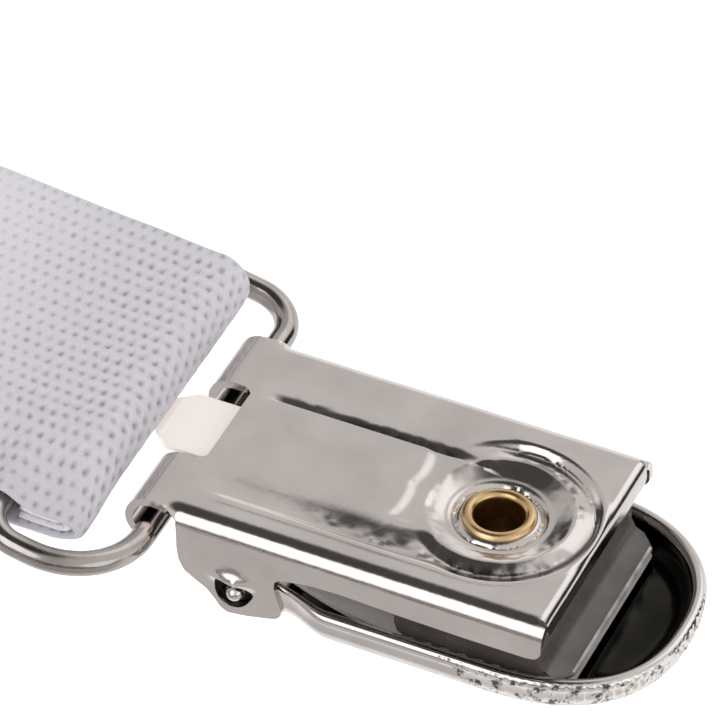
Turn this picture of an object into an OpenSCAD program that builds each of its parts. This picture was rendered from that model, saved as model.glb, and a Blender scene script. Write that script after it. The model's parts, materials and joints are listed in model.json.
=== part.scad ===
// Y-back suspenders: white elastic webbing, three nickel-plated lever clips on
// wire rings, two adjusting sliders and a leather back patch, folded flat.
// +X runs from the webbing towards the clips' jaws, +Z is up, millimetres.
// The origin is the centre of the bounding box's bottom face.

/* [Webbing] */
// Width of the elastic webbing
strap_w = 25; // [22:0.5:25]
// Thickness of one layer of webbing
strap_t = 0.8; // [0.7:0.05:0.9]
// Gap between the two layers where they hold the ring
loop_gap = 1.8; // [1.8:0.05:1.9]
// Distance between neighbouring straps in the folded set
lane = 44; // [44:0.5:46]
// Left end of the folded set, where the front straps turn back
turn_left = -296; // [-310:1:-290]
// Right end of the folded set, where the front straps turn again
turn_right = -112; // [-130:1:-110]
// Distance of the slider from the clip's back edge
slider_at = 88; // [86:1:90]

/* [Clip] */
// Clip size relative to a pattern whose cover is 17 mm wide
clip_scale = 1.06; // [1.04:0.01:1.06]
// Length of the pattern's cover, from its rolled end to the jaw
cover_l = 26.1; // [26:0.1:26.4]
// Half width of the pattern's cover
cover_hw = 8.5; // [8.5:0.05:8.6]
// Sheet thickness of the cover and the lever
sheet_t = 0.55; // [0.45:0.05:0.55]
// Half width of the spring leaf
leaf_hw = 6.8; // [6.4:0.1:6.8]
// Half width of the finger spoon at its widest
spoon_hw = 8.75; // [8.6:0.05:8.9]
// Outer radius of the eyelet's flange
eyelet_r = 2.3; // [2.2:0.05:2.5]

/* [Ring] */
// Wire diameter of the ring
wire_d = 1.6; // [1.4:0.05:1.6]
// Distance between the ring's two long bars
ring_l = 8.75; // [8.75:0.01:8.77]
// Half width of the ring at the wire's centre
ring_hw = 15.0; // [15:0.05:15.2]
// Corner radius at the clip's end of the ring
ring_r = 5.4; // [4.6:0.1:5.4]

/* [Slider] */
// Thickness of the slider's wire and side rails
slider_t = 1.2; // [1:0.1:1.2]
// Height of the slider's centre bar above the surface
slider_bar_z = 11.2; // [11.2:0.1:11.4]

/* [Patch] */
// Length of the back patch
patch_l = 52; // [50:1:54]
// Width of the patch at the front straps
patch_w = 58; // [58:1:62]
// Thickness of the patch's outer leather
patch_t = 1.2; // [1:0.1:1.4]

/* [Hidden] */
$fn = 48;

u = clip_scale;
depth = 6.7;                       // pattern height, cover top to spoon bottom
zc = depth * u;                    // cover top above the surface, lever down
bar = [1.0, -1.95];                // ring's clip-side bar in the clip pattern
curl_r = 1.7;                      // outer radius of the cover's rolled end
curl = [bar[0], -curl_r];          // its centre, a little above the bar
pivot = [6.6, -4.9];               // lever axis in the clip pattern
eye_x = 19.8;                      // eyelet axis in the clip pattern
front_bar = [-7.52, 6.75];         // ring's strap-side bar, front clips
back_bar_z = loop_gap / 2 + strap_t;
ring_tilt = asin((front_bar[1] - (zc + bar[1] * u)) / ring_l);
back_tilt = asin((back_bar_z - (-bar[1] * u)) / ring_l);
y_back = -lane;
y_right = -2 * lane;
x_min = turn_left - (8.0 - 4.3) / 2 - strap_t / 2;
x_max = 32.3 * u;
ox = -(x_min + x_max) / 2;
oy = lane;

steel = [0.71, 0.68, 0.67];
white = [0.93, 0.92, 0.94];

module placed() translate([ox, oy, 0]) children();

// ---- ribbons: a constant-thickness strip along a path in the XZ plane ----
function arc(c, r, a0, a1, n) = [for (i = [0:n]) let (a = a0 + (a1 - a0) * i / n) [c[0] + r * cos(a), c[1] + r * sin(a)]];
function unit(v) = v / norm(v);
function side(p, i) = let (n = len(p), a = p[max(0, i - 1)], b = p[min(n - 1, i + 1)], d = unit(b - a)) [-d[1], d[0]];
function mitre(p, i) = (i == 0 || i == len(p) - 1) ? 1 :
    let (d0 = unit(p[i] - p[i - 1]), d1 = unit(p[i + 1] - p[i]), c = sqrt((1 + d0 * d1) / 2)) 1 / max(c, 0.5);
function outline(p, t) = concat([for (i = [0:len(p) - 1]) p[i] + side(p, i) * t / 2 * mitre(p, i)],
                                [for (i = [len(p) - 1:-1:0]) p[i] - side(p, i) * t / 2 * mitre(p, i)]);
module xz(w) rotate([90, 0, 0]) linear_extrude(height = w, center = true) children();
module ribbon(p, t, w) xz(w) polygon(outline(p, t));
function ease(k) = k * k * (3 - 2 * k);
function ramp(x0, z0, x1, z1, n) = [for (i = [0:n]) [x0 + (x1 - x0) * i / n, z0 + (z1 - z0) * ease(i / n)]];

// ---- webbing ----
lr = loop_gap / 2 + strap_t / 2;   // centreline radius of a loop round a bar
fold_x = -4.25;
fr = 1.8;                          // centreline radius of the front fold
fz = 7.35;                         // and its height
z1 = 8.0; z2 = 4.3; z3 = strap_t / 2;
zr = fz + fr + 0.11 * 20; // return layer's height where it leaves the loop
front_path = concat(
    ramp(-24, zr, fold_x - 2, fz + fr, 8),
    arc([fold_x, fz], fr, 90, -90, 12),
    ramp(fold_x - 5, fz - fr, -34, z1, 8),
    [[-60, z1]],
    arc([turn_left, (z1 + z2) / 2], (z1 - z2) / 2, 90, 270, 12),
    arc([turn_right, (z2 + z3) / 2], (z2 - z3) / 2, 90, -90, 12),
    [[turn_right - 10, z3]]);
patch_z = 1.9;                     // underside of the straps inside the patch
patch_x = -238;
end_x = -251;
tilt = 13.3;
module front_strap(s) {
    ribbon(front_path, strap_t, strap_w);
    translate([turn_right - 8, 0, 0]) rotate([0, 0, s * tilt])
        ribbon(concat([[0, z3]], ramp(-50, z3, -82, patch_z + strap_t / 2, 8), [[end_x - turn_right + 8, patch_z + strap_t / 2]]), strap_t, strap_w);
}
back_path = concat(
    [[-254, patch_z + strap_t / 2]],
    arc([turn_left + 3, (patch_z + strap_t / 2 + z3) / 2], (patch_z + strap_t / 2 - z3) / 2, 90, 270, 12),
    [[-60, z3]],
    arc([-7.68 + 3.2, back_bar_z], lr, -90, 90, 12),
    [[-14, back_bar_z + lr]],
    ramp(-20, back_bar_z + lr, -30, z3 + strap_t + 0.05, 8),
    [[-44, z3 + strap_t + 0.05]]);
return_path = concat(ramp(-24, zr, -60, 9.6, 10), [[-slider_at + 4, 9.6]]);
end_path = concat(
    [[-slider_at + 18, 10.9], [-slider_at + 13, 10.95]],
    ramp(-slider_at + 11, 11.1, -slider_at + 4, slider_bar_z + lr - 0.25, 5),
    arc([-slider_at, slider_bar_z], lr - 0.25, 90, 270, 12),
    [[-slider_at + 2, slider_bar_z - lr + 0.2], [-slider_at + 3.9, 9.75]]);

module strap_left() color(white) front_strap(1);
module strap_right() color(white) translate([0, y_right, 0]) front_strap(-1);
module strap_back() color(white) translate([0, y_back, 0]) ribbon(back_path, strap_t, strap_w);
module return_layer(y) color(white) translate([0, y, 0]) ribbon(return_path, strap_t, strap_w);
module return_end(y) color(white) translate([0, y, 0]) ribbon(end_path, strap_t, strap_w);

// rows of thread lying on the webbing
module thread(l) translate([0, 0, 0.1]) cube([0.35, l, 0.2], center = true);
module bartack(x, y, z) color("gainsboro") translate([x, y, z])
    for (i = [0:2]) translate([i * 2.2, 0, 0]) for (k = [-5:5]) translate([0, k * 2, 0]) thread(1.5);

// ---- slider ----
module slider(y) color(steel) translate([-slider_at, y, 0]) {
    hw = strap_w / 2 + 0.9;
    for (x = [-7, 7]) translate([x, 0, 6.5]) rotate([90, 0, 0]) cylinder(h = 2 * hw + 2 * slider_t, d = slider_t, center = true);
    translate([0, 0, slider_bar_z]) rotate([90, 0, 0]) cylinder(h = 2 * hw + 2 * slider_t, d = slider_t, center = true);
    for (s = [-1, 1]) translate([0, s * (hw + slider_t / 2), 0]) xz(slider_t)
        polygon([[-7.6, 5.9], [-6.4, 5.9], [-2.6, slider_bar_z - 2.2], [0, slider_bar_z - 0.9], [2.6, slider_bar_z - 2.2], [6.4, 5.9], [7.6, 5.9],
                 [7.6, 7.1], [3.4, slider_bar_z - 0.9], [1, slider_bar_z + 0.6], [-1, slider_bar_z + 0.6], [-3.4, slider_bar_z - 0.9], [-7.6, 7.1]]);
}

// ---- back patch ----
pw = patch_w / 2;
function patch_outline(m) = [[patch_x - m, -pw + m], [patch_x - m, pw - m], [patch_x - 14, pw - m], [patch_x - patch_l + 8, 15.5 - m],
    [patch_x - patch_l + m, 12 - m], [patch_x - patch_l + m, -12 + m], [patch_x - patch_l + 8, -15.5 + m], [patch_x - 14, -pw + m]];
module patch_sheet(z, t) translate([0, y_back, z]) linear_extrude(height = t) polygon(patch_outline(0));
module patch_outer() color("saddlebrown") patch_sheet(z3 + strap_t / 2 + 0.15, patch_z - z3 - strap_t / 2 - 0.15);
module patch_backing() color("sienna") patch_sheet(patch_z + strap_t, patch_t);
module patch_stitching() color("wheat") translate([0, y_back, patch_z + strap_t + patch_t]) {
    p = patch_outline(1.6);
    for (i = [0:len(p) - 1]) let (a = p[i], b = p[(i + 1) % len(p)], l = norm(b - a), n = floor(l / 3), d = unit(b - a))
        for (k = [0:n - 1]) let (q = a + d * (k + 0.5) * l / n)
            translate([q[0], q[1], 0.1]) rotate([0, 0, atan2(d[1], d[0])]) cube([2, 0.4, 0.2], center = true);
}

// ---- ring: two bars, two sides and four corners of round wire ----
module corner(x, y, r, a) translate([x, y, 0]) rotate([0, 0, a]) rotate_extrude(angle = 90) translate([r, 0]) circle(d = wire_d);
module ring(tilt_a) color(steel) rotate([0, tilt_a, 0]) {
    r2 = 2.4;
    rotate([90, 0, 0]) cylinder(h = 2 * (ring_hw - ring_r), d = wire_d, center = true);
    translate([-ring_l, 0, 0]) rotate([90, 0, 0]) cylinder(h = 2 * (ring_hw - r2), d = wire_d, center = true);
    for (s = [-1, 1]) translate([-ring_l + r2, s * ring_hw, 0]) rotate([0, 90, 0]) cylinder(h = ring_l - ring_r - r2, d = wire_d);
    corner(-ring_r, ring_hw - ring_r, ring_r, 0);
    corner(-ring_r, -ring_hw + ring_r, ring_r, 270);
    corner(-ring_l + r2, ring_hw - r2, r2, 90);
    corner(-ring_l + r2, -ring_hw + r2, r2, 180);
}

// ---- clip pattern: z = 0 is the cover's top, the spoon is at the bottom ----
br = 1.3;                          // bend radius of the cover's long edges
module channel(l) rotate([90, 0, 90]) linear_extrude(height = l) difference() {
    union() {
        translate([-cover_hw, -2.4]) square([2 * cover_hw, 2.4 - br]);
        translate([-cover_hw + br, -2.4]) square([2 * (cover_hw - br), 2.4]);
        for (s = [-1, 1]) translate([s * (cover_hw - br), -br]) circle(r = br);
    }
    translate([-cover_hw + sheet_t, -3]) square([2 * (cover_hw - sheet_t), 3 - br]);
    translate([-cover_hw + br, -3]) square([2 * (cover_hw - br), 3 - sheet_t]);
    for (s = [-1, 1]) translate([s * (cover_hw - br), -br]) circle(r = br - sheet_t);
}
ear = [[2.8, -1.4], [9.2, -1.4], [9.2, -2.8], [9.8, -5.1], [9.2, -5.8], [5.9, -6.45], [4.2, -5.2], [3.1, -3.6], [2.8, -2.6]];
module cover() color(steel) {
    difference() {
        union() {
            difference() {
                translate([bar[0], 0, 0]) channel(cover_l - bar[0]);
                translate([bar[0] - 1, -cover_hw - 1, -4]) cube([2.8 - bar[0] + 1, 2 * cover_hw + 2, 4 - br + 0.2]);
            }
            for (s = [-1, 1]) translate([0, s * (cover_hw - sheet_t / 2), 0]) xz(sheet_t) polygon(ear);
            // rolled end that holds the ring's bar
            xz(2 * cover_hw - 1) polygon(concat(arc(curl, curl_r, 90, 236, 14), arc(curl, curl_r - sheet_t, 236, 90, 14)));
            // lip bent down over the front of the insert
            translate([cover_l - sheet_t, -cover_hw + 1, -1.25]) cube([sheet_t, 2 * cover_hw - 2, 1.25]);
            // raised rim of the embossing
            translate([eye_x, 0, -0.1]) cylinder(h = 0.35, r = 6.0);
            translate([3.2, -6, -0.1]) cube([eye_x - 3.2, 12, 0.35]);
        }
        translate([-2, -3.5, -5]) cube([4.4, 7, 7]);
        // sunk field with its raised panel
        difference() {
            union() {
                translate([eye_x, 0, -0.1]) cylinder(h = 1, r = 5.5);
                translate([3.7, -5.5, -0.1]) cube([eye_x - 3.7, 11, 1]);
            }
            translate([2, -3.25, -1]) cube([12.5, 6.5, 1.2]);
        }
        translate([eye_x, 0, -0.25]) cylinder(h = 1, r = 4.3);
        translate([eye_x, 0, -2]) cylinder(h = 3, r = 1.9);
        for (s = [-1, 1]) translate([pivot[0], s * cover_hw, pivot[1]]) rotate([90, 0, 0]) cylinder(h = 3, r = 1.05, center = true);
    }
}
module insert() color([0.2, 0.18, 0.17]) difference() {
    xz(14) polygon(concat([[16.6, -0.6], [25.5, -0.6], [25.5, -3.9], [25.8, -4.6], [26.4, -4.9], [27.3, -4.95], [27.3, -5.15]],
        [for (i = [0:8]) for (k = [0, 1]) [26.6 - i * 1.1 - k * 0.35, k == 0 ? -5.4 : -5.1]],
        [[16.9, -5.35], [16.5, -5.0], [16.3, -4.4], [16.3, -1.0]]));
    translate([eye_x, 0, -4]) cylinder(h = 5, r = 1.85);
    translate([eye_x, 0, -6]) cylinder(h = 3, r = 2.6);
}
module eyelet() color([0.8, 0.62, 0.3]) translate([eye_x, 0, 0]) difference() {
    union() {
        translate([0, 0, -3.3]) cylinder(h = 3.4, r = 1.85);
        translate([0, 0, -0.24]) cylinder(h = 0.34, r = eyelet_r);
        translate([0, 0, -3.3]) cylinder(h = 0.3, r = 2.4);
    }
    translate([0, 0, -4]) cylinder(h = 5, r = 1.5);
}
leaf_path = concat([[-1.75, -0.95], [2.2, -0.95], [3.2, -1.1]], ramp(4.2, -1.5, 13.0, -5.25, 8), [[14.6, -5.6], [16.5, -5.72], [26.4, -5.72], [27.3, -5.55]]);
module leaf() color([0.6, 0.58, 0.57]) intersection() {
    ribbon(leaf_path, 0.35, 2 * leaf_hw);
    translate([0, 0, -8]) linear_extrude(height = 9) polygon([[-2, -1.7], [-2, 1.7], [-1.2, 2.5], [2.6, 2.5], [3.4, leaf_hw], [26.9, leaf_hw], [27.6, leaf_hw - 1],
        [27.6, -leaf_hw + 1], [26.9, -leaf_hw], [3.4, -leaf_hw], [2.6, -2.5], [-1.2, -2.5]]);
}
// spoon outline in plan: straight sides and a squarish round tip
function spoon(m) = concat([[10.3, -spoon_hw + 0.55 + m], [12.4, -spoon_hw + m]],
    [for (i = [0:24]) let (a = -90 + i * 7.5, c = cos(a), s = sin(a)) [22.6 + (9.7 - m) * pow(abs(c), 0.86), (spoon_hw - m) * sign(s) * pow(abs(s), 0.86)]],
    [[12.4, spoon_hw - m], [10.3, spoon_hw - 0.55 - m]]);
module lever() color(steel) {
    difference() {
        translate([0, 0, -6.7]) linear_extrude(height = 2.5) polygon(spoon(0));
        translate([0, 0, -6.25]) linear_extrude(height = 4) polygon(spoon(0.6));
        translate([9, -7.1, -6.25]) cube([4, 14.2, 4]);
    }
    // floor and side plates that run back to the pivot
    translate([5.8, -7.7, -6.7]) cube([5.2, 15.4, 0.45]);
    translate([8.4, -6.9, -6.5]) cube([0.8, 13.8, 1.5]);
    for (s = [-1, 1]) {
        translate([0, s * 7.4, 0]) xz(0.6) polygon([[5.8, -6.7], [11, -6.7], [11, -4.2], [8.6, -3.8], [7.6, -3.4], [5.6, -3.4], [4.9, -4.6], [5.0, -5.9]]);
        translate([pivot[0], s * 8.0, pivot[1]]) rotate([90, 0, 0]) cylinder(h = 1.4, r = 1.0, center = true);
    }
}
module down(y) translate([0, y, zc]) scale(u) children();
module up(y) translate([0, y, 0]) scale(u) rotate([180, 0, 0]) children();
module front_ring(y) translate([bar[0] * u, y, zc + bar[1] * u]) ring(ring_tilt);

placed() strap_left();
placed() strap_right();
placed() strap_back();
placed() return_layer(0);  // return_left
placed() return_layer(y_right);  // return_right
placed() return_end(0);  // return_end_left
placed() return_end(y_right);  // return_end_right
placed() slider(0);  // slider_left
placed() slider(y_right);  // slider_right
placed() bartack(-slider_at + 13.2, 0, 11.35);  // bartack_left
placed() bartack(-slider_at + 13.2, y_right, 11.35);  // bartack_right
placed() bartack(-42, y_back, z3 + 1.5 * strap_t + 0.05);  // bartack_back
placed() patch_outer();
placed() patch_backing();
placed() patch_stitching();
placed() front_ring(0);  // ring_left
placed() down(0) cover();  // cover_left
placed() down(0) insert();  // insert_left
placed() down(0) eyelet();  // eyelet_left
placed() down(0) leaf();  // leaf_left
placed() down(0) lever();  // lever_left
placed() front_ring(y_right);  // ring_right
placed() down(y_right) cover();  // cover_right
placed() down(y_right) insert();  // insert_right
placed() down(y_right) eyelet();  // eyelet_right
placed() down(y_right) leaf();  // leaf_right
placed() down(y_right) lever();  // lever_right
placed() translate([bar[0] * u, y_back, -bar[1] * u]) ring(back_tilt);  // ring_back
placed() up(y_back) cover();  // cover_back
placed() up(y_back) insert();  // insert_back
placed() up(y_back) eyelet();  // eyelet_back
placed() up(y_back) leaf();  // leaf_back
placed() up(y_back) lever();  // lever_back
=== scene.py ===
import json
import math
import bpy
import bmesh
import numpy as np
from mathutils import Matrix, Vector
from mathutils.geometry import delaunay_2d_cdt


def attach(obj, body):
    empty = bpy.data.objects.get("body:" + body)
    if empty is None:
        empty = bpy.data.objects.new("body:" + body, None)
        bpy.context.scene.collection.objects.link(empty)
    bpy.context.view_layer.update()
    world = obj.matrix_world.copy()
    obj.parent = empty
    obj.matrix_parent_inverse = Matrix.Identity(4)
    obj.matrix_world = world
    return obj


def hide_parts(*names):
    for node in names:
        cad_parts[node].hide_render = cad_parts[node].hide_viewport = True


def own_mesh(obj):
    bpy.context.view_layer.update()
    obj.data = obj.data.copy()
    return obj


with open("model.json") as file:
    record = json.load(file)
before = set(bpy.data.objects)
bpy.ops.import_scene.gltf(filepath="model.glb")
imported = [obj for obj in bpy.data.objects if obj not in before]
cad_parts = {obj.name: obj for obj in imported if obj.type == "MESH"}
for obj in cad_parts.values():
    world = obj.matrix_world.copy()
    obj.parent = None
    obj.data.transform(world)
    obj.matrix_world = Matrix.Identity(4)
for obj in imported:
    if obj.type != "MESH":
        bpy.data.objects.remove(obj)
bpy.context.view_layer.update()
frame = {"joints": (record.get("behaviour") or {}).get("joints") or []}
J = {j["name"]: j for j in frame["joints"]}
U = 1.06                                        # clip size relative to its 17 mm pattern
T = 0.8                                         # thickness of one layer of webbing, mm
W = 25.0                                        # webbing width, mm
BAR = {s: np.array(J["clip_hinge_" + s]["pos_m"]) * 1000 for s in ("left", "right", "back")}
RBAR = {s: np.array(J["ring_hinge_" + s]["pos_m"]) * 1000 for s in ("left", "right", "back")}
OX = BAR["left"][0] - 1.0 * U
ZC = BAR["left"][2] + 1.95 * U
LANE = {s: BAR[s][1] for s in BAR}
SIDES = ("left", "right", "back")
rng = np.random.default_rng(7)


def sm(x):
    x = np.clip(x, 0, 1)
    return x * x * (3 - 2 * x)


# ------------------------------------------------------------ materials
def material(name, base, metallic=0.0, rough=0.5, **kw):
    m = bpy.data.materials.new(name)
    m.use_nodes = True
    nt = m.node_tree
    b = nt.nodes["Principled BSDF"]
    b.inputs["Base Color"].default_value = (*base, 1)
    b.inputs["Metallic"].default_value = metallic
    b.inputs["Roughness"].default_value = rough
    for k, v in kw.items():
        b.inputs[k.replace("_", " ")].default_value = v
    return m, nt, b


def node(nt, kind, **props):
    n = nt.nodes.new(kind)
    for k, v in props.items():
        setattr(n, k, v)
    return n


def maths(nt, op, a, b=None, c=None, clamp=False):
    n = node(nt, "ShaderNodeMath", operation=op, use_clamp=clamp)
    for i, v in enumerate((a, b, c)):
        if v is None:
            continue
        if isinstance(v, (int, float)):
            n.inputs[i].default_value = v
        else:
            nt.links.new(v, n.inputs[i])
    return n.outputs[0]


def coords(nt):
    return node(nt, "ShaderNodeTexCoord").outputs["Object"]


def noise(nt, vec, scale, detail=3.0, rough=0.5):
    n = node(nt, "ShaderNodeTexNoise")
    n.inputs["Scale"].default_value = scale
    n.inputs["Detail"].default_value = detail
    n.inputs["Roughness"].default_value = rough
    nt.links.new(vec, n.inputs["Vector"])
    return n.outputs["Fac"]


def ramp(nt, fac, stops):
    n = node(nt, "ShaderNodeValToRGB")
    cr = n.color_ramp
    while len(cr.elements) < len(stops):
        cr.elements.new(0.5)
    for e, (p, c) in zip(cr.elements, stops):
        e.position = p
        e.color = c if len(c) == 4 else (*c, 1)
    nt.links.new(fac, n.inputs["Fac"])
    return n.outputs["Color"]


def bump(nt, b, height, strength, dist):
    n = node(nt, "ShaderNodeBump")
    n.inputs["Strength"].default_value = strength
    n.inputs["Distance"].default_value = dist
    nt.links.new(height, n.inputs["Height"])
    nt.links.new(n.outputs["Normal"], b.inputs["Normal"])


def metal(name, lo, hi, r0, r1, wave, scale):
    m, nt, b = material(name, hi, 1.0, r0)
    c = coords(nt)
    big = noise(nt, c, scale, 4.0)
    nt.links.new(ramp(nt, big, [(0.3, lo), (0.7, hi)]), b.inputs["Base Color"])
    fine = noise(nt, c, scale * 9, 4.0)
    rr = node(nt, "ShaderNodeMapRange")
    rr.inputs["To Min"].default_value = r0
    rr.inputs["To Max"].default_value = r1
    nt.links.new(fine, rr.inputs["Value"])
    nt.links.new(rr.outputs["Result"], b.inputs["Roughness"])
    mix = maths(nt, "ADD", big, maths(nt, "MULTIPLY", fine, 0.12))
    bump(nt, b, mix, wave, 0.0002)
    return m


NICKEL = metal("nickel_plate", (0.62, 0.575, 0.55), (0.72, 0.675, 0.65), 0.10, 0.2, 0.25, 260)
WIRE = metal("nickel_wire", (0.33, 0.30, 0.28), (0.55, 0.51, 0.485), 0.10, 0.18, 0.16, 300)
# near-black metal for the spoon's inside, also used for the painted shade discs at the pivots
INSIDE, nt, b = material("dark_spoon_inside", (0.03, 0.028, 0.026), 1.0, 0.12)
c = coords(nt)
f = noise(nt, c, 180, 3.0)
nt.links.new(ramp(nt, f, [(0.35, (0.018, 0.018, 0.016)), (0.8, (0.06, 0.055, 0.05))]), b.inputs["Base Color"])
bump(nt, b, f, 0.25, 0.0002)
SPOON = metal("nickel_spoon", (0.60, 0.56, 0.54), (0.74, 0.70, 0.67), 0.08, 0.16, 0.2, 240)
RIM = metal("worn_rim", (0.60, 0.56, 0.54), (0.74, 0.70, 0.67), 0.12, 0.3, 0.4, 700)
nt = RIM.node_tree
b = nt.nodes["Principled BSDF"]
# the rim's colour is noise ramped from near-black through grey to near-white: painted dark strokes and glints of the
# knurl
nt.links.new(ramp(nt, noise(nt, coords(nt), 1150, 4.0, 0.65), [(0.39, (0.10, 0.085, 0.08)), (0.44, (0.44, 0.40, 0.38)), (0.48, (0.84, 0.80, 0.77))]), b.inputs["Base Color"])
STEEL = metal("spring_steel", (0.95, 0.88, 0.83), (1.0, 0.95, 0.90), 0.34, 0.44, 0.15, 320)
STEEL.node_tree.nodes["Principled BSDF"].inputs["Metallic"].default_value = 0.3
# lit copy of the spring steel for the tab: less metallic and with a faint glow, which is painted light
TAB_PAINTED_LIGHT = metal("bright_tab", (0.97, 0.90, 0.85), (1.0, 0.95, 0.91), 0.30, 0.42, 0.15, 320)
b = TAB_PAINTED_LIGHT.node_tree.nodes["Principled BSDF"]
b.inputs["Metallic"].default_value = 0.15
b.inputs["Emission Color"].default_value = (1.0, 0.90, 0.84, 1)
b.inputs["Emission Strength"].default_value = 0.12
BRASS = metal("brass", (0.60, 0.40, 0.20), (0.76, 0.55, 0.30), 0.2, 0.3, 0.3, 420)

PLASTIC, nt, b = material("smoky_plastic", (0.13, 0.115, 0.105), 0.0, 0.3)
b.inputs["Coat Weight"].default_value = 0.3
b.inputs["Coat Roughness"].default_value = 0.2
c = coords(nt)
f = noise(nt, c, 500, 4.0)
nt.links.new(ramp(nt, f, [(0.3, (0.095, 0.08, 0.072)), (0.75, (0.155, 0.132, 0.118))]), b.inputs["Base Color"])
bump(nt, b, f, 0.3, 0.0001)


def knit_nodes(nt):
    """Staggered rows of small pores, from UVs that hold millimetres along and across the webbing."""
    uv = node(nt, "ShaderNodeTexCoord").outputs["UV"]
    warp = node(nt, "ShaderNodeTexNoise")
    warp.inputs["Scale"].default_value = 0.55
    warp.inputs["Detail"].default_value = 2.0
    nt.links.new(uv, warp.inputs["Vector"])
    sub = node(nt, "ShaderNodeVectorMath", operation="SUBTRACT")
    nt.links.new(warp.outputs["Color"], sub.inputs[0])
    sub.inputs[1].default_value = (0.5, 0.5, 0.5)
    sc = node(nt, "ShaderNodeVectorMath", operation="SCALE")
    nt.links.new(sub.outputs[0], sc.inputs[0])
    sc.inputs["Scale"].default_value = 0.22
    add = node(nt, "ShaderNodeVectorMath", operation="ADD")
    nt.links.new(uv, add.inputs[0])
    nt.links.new(sc.outputs[0], add.inputs[1])
    sep = node(nt, "ShaderNodeSeparateXYZ")
    nt.links.new(add.outputs[0], sep.inputs[0])
    v = sep.outputs["Y"]
    row = maths(nt, "FLOOR", v)
    odd = maths(nt, "MODULO", row, 2.0)
    u = maths(nt, "ADD", maths(nt, "DIVIDE", sep.outputs["X"], 0.8), maths(nt, "MULTIPLY", odd, 0.5))
    du = maths(nt, "MULTIPLY", maths(nt, "SUBTRACT", maths(nt, "FRACT", u), 0.5), 0.8)
    dv = maths(nt, "SUBTRACT", maths(nt, "FRACT", v), 0.5)
    q = maths(nt, "ADD", maths(nt, "POWER", maths(nt, "DIVIDE", du, 0.15), 2.0), maths(nt, "POWER", maths(nt, "DIVIDE", dv, 0.21), 2.0))
    pore = maths(nt, "EXPONENT", maths(nt, "MULTIPLY", q, -1.0))
    amt = node(nt, "ShaderNodeTexNoise")
    amt.inputs["Scale"].default_value = 0.9
    nt.links.new(uv, amt.inputs["Vector"])
    mr = node(nt, "ShaderNodeMapRange")
    mr.inputs["From Min"].default_value = 0.3
    mr.inputs["From Max"].default_value = 0.7
    mr.inputs["To Min"].default_value = 0.35
    mr.inputs["To Max"].default_value = 1.0
    nt.links.new(amt.outputs["Fac"], mr.inputs["Value"])
    pore = maths(nt, "MULTIPLY", pore, mr.outputs["Result"])
    return uv, pore


def webbing_material(name, tint=1.0, pore_shade=0.55):
    m, nt, b = material(name, (0.78, 0.77, 0.80), 0.0, 0.85)
    b.inputs["Sheen Weight"].default_value = 0.15
    b.inputs["Sheen Roughness"].default_value = 0.5
    uv, pore = knit_nodes(nt)
    fine = node(nt, "ShaderNodeTexNoise")
    fine.inputs["Scale"].default_value = 6.0
    fine.inputs["Detail"].default_value = 5.0
    nt.links.new(uv, fine.inputs["Vector"])
    col = ramp(nt, fine.outputs["Fac"], [(0.25, (0.775 * tint, 0.755 * tint, 0.815 * tint)), (0.7, (0.885 * tint, 0.865 * tint, 0.92 * tint))])
    mix = node(nt, "ShaderNodeMixRGB", blend_type="MIX")
    # pores open and darken where the webbing is stretched over the ring; the darkening in the pores is painted shade
    sx = node(nt, "ShaderNodeSeparateXYZ")
    nt.links.new(uv, sx.inputs[0])
    rise = node(nt, "ShaderNodeMapRange", interpolation_type="SMOOTHSTEP")
    rise.inputs["From Min"].default_value = 3.0
    rise.inputs["From Max"].default_value = 16.0
    fall = node(nt, "ShaderNodeMapRange", interpolation_type="SMOOTHSTEP")
    fall.inputs["From Min"].default_value = 38.0
    fall.inputs["From Max"].default_value = 30.0
    nt.links.new(sx.outputs[0], rise.inputs["Value"])
    nt.links.new(sx.outputs[0], fall.inputs["Value"])
    near_fold = maths(nt, "MULTIPLY", rise.outputs["Result"], fall.outputs["Result"])
    open_ = maths(nt, "ADD", maths(nt, "MULTIPLY", near_fold, 0.72), 0.42)
    end = node(nt, "ShaderNodeMapRange", interpolation_type="SMOOTHSTEP")
    end.inputs["From Min"].default_value = 9.0
    end.inputs["From Max"].default_value = 0.0
    nt.links.new(sx.outputs[1], end.inputs["Value"])
    # painted shade over the band near the fold, deeper towards the selvage at v = 0; pores and band are mixed towards
    # dark grey
    shade = maths(nt, "MULTIPLY", near_fold, maths(nt, "ADD", maths(nt, "MULTIPLY", end.outputs["Result"], 0.14), 0.19))
    nt.links.new(maths(nt, "ADD", maths(nt, "MULTIPLY", maths(nt, "MULTIPLY", pore, pore_shade), open_), shade), mix.inputs["Fac"])
    nt.links.new(col, mix.inputs["Color1"])
    mix.inputs["Color2"].default_value = (0.29, 0.27, 0.29, 1)
    nt.links.new(mix.outputs["Color"], b.inputs["Base Color"])
    h = maths(nt, "SUBTRACT", maths(nt, "MULTIPLY", fine.outputs["Fac"], 0.35), pore)
    bump(nt, b, h, 0.6, 0.0002)
    return m


WEB = webbing_material("knit_elastic")

THREAD, nt, b = material("thread", (0.8, 0.79, 0.8), 0.0, 0.7)
c = coords(nt)
w = node(nt, "ShaderNodeTexWave")
w.inputs["Scale"].default_value = 900
w.inputs["Distortion"].default_value = 1.0
nt.links.new(c, w.inputs["Vector"])
nt.links.new(ramp(nt, w.outputs["Fac"], [(0.2, (0.62, 0.6, 0.6)), (0.8, (0.86, 0.85, 0.85))]), b.inputs["Base Color"])
bump(nt, b, w.outputs["Fac"], 0.5, 0.0001)

TAN, nt, b = material("tan_thread", (0.55, 0.40, 0.24), 0.0, 0.7)
c = coords(nt)
w = node(nt, "ShaderNodeTexWave")
w.inputs["Scale"].default_value = 900
nt.links.new(c, w.inputs["Vector"])
nt.links.new(ramp(nt, w.outputs["Fac"], [(0.2, (0.45, 0.31, 0.18)), (0.8, (0.66, 0.5, 0.32))]), b.inputs["Base Color"])
bump(nt, b, w.outputs["Fac"], 0.5, 0.0001)


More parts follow.
